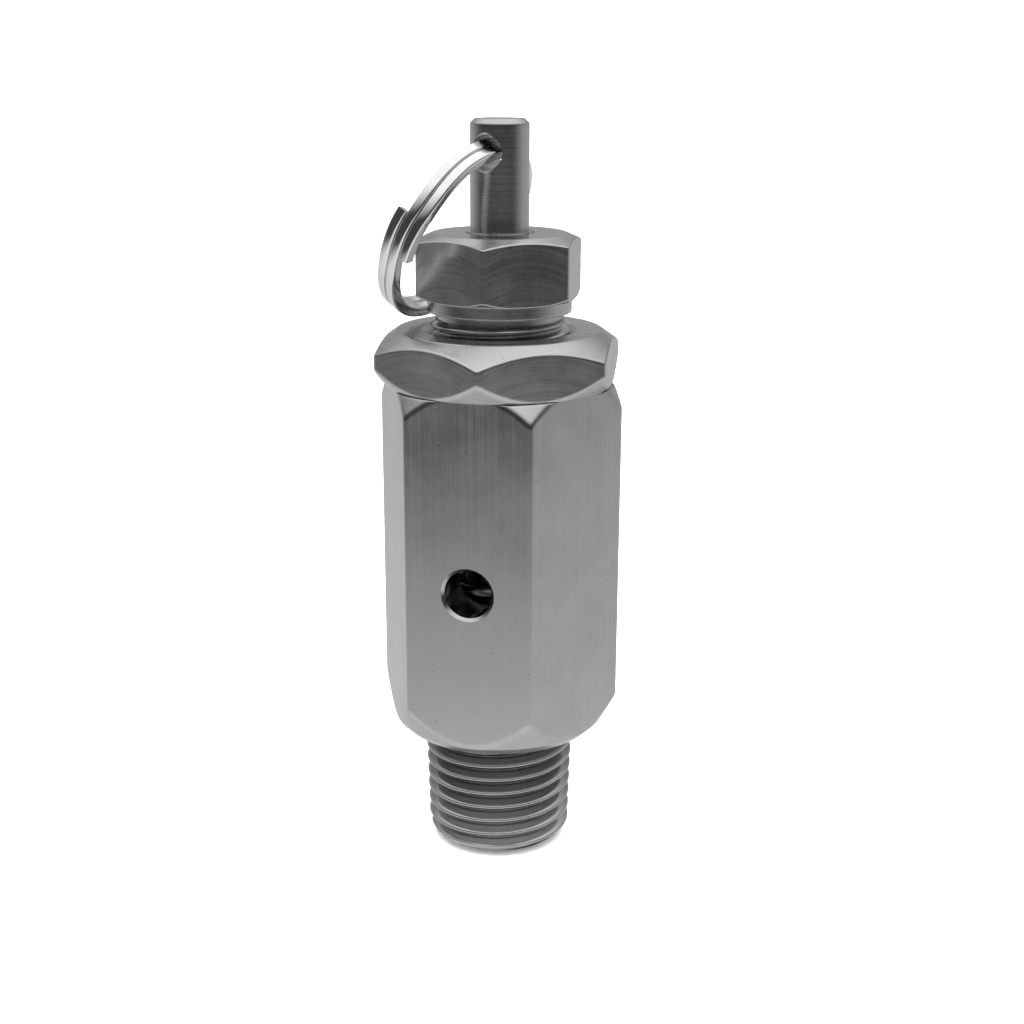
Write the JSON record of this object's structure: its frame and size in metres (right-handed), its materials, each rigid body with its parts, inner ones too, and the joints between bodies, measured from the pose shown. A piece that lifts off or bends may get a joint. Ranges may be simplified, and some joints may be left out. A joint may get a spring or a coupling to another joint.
{
  "type": "pressure relief valve",
  "caption": "Spring-loaded pressure relief valve with a hexagonal body, tapered pipe-thread inlet, side discharge holes, adjusting screw with lock nut and a pull ring on the stem.",
  "frame": {"origin": "on the valve's axis, at the open end of the inlet thread", "axes": "+Z along the valve's axis from the inlet up to the stem; -Y through the discharge hole that faces the picture's camera; the pull ring leans to -X"},
  "size_m": [0.0218, 0.0224, 0.0647],
  "materials": {
    "body_steel": "drawn hexagonal bar, satin",
    "nut_steel": "machined, satin",
    "turned_steel": "turned, fine circular marks",
    "ring_steel": "polished flat wire",
    "inner_steel": "machined",
    "spring_steel": "drawn wire",
    "seat_rubber": "moulded, matt"
  },
  "bodies": {
    "housing": {"valve_body": "body_steel"},
    "lock_nut_body": {"lock_nut": "nut_steel"},
    "upper_plate_body": {"upper_spring_plate": "inner_steel"},
    "adjuster": {"adjusting_screw": "turned_steel"},
    "stem_group": {"stem": "turned_steel", "disc_holder": "inner_steel", "seat_disc": "seat_rubber", "disc_washer": "inner_steel", "disc_screw": "inner_steel", "stem_pin": "inner_steel", "lower_spring_plate": "inner_steel", "spring": "spring_steel"},
    "ring": {"pull_ring": "ring_steel"}
  },
  "joints": [
    {"name": "stem_lift", "type": "slide", "parent": "housing", "child": "stem_group", "axis": [0, 0, 1], "range_m": [0, 0.0007], "stiffness_N_per_m": 3000, "springref_m": -0.005, "deforming": ["spring"]},
    {"name": "ring_swing", "type": "hinge", "parent": "stem_group", "child": "ring", "pos_m": [0, 0, 0.06198], "axis": [0.236, 0.9718, 0], "range_deg": [0, 295]},
    {"name": "adjuster_slide", "type": "slide", "parent": "housing", "child": "upper_plate_body", "axis": [0, 0, 1], "range_m": [-0.0005, 0.0005], "deforming": ["spring"]},
    {"name": "adjuster_turn", "type": "hinge", "parent": "upper_plate_body", "child": "adjuster", "pos_m": [0, 0, 0.0499], "axis": [0, 0, 1], "range_deg": [-180, 180]},
    {"name": "lock_nut_turn", "type": "hinge", "parent": "housing", "child": "lock_nut_body", "pos_m": [0, 0, 0.0425], "axis": [0, 0, 1], "range_deg": [0, 30]}
  ],
  "couplings": [
    {"joint": "adjuster_turn", "follows": "adjuster_slide", "rad_per_m": 6283.2}
  ]
}
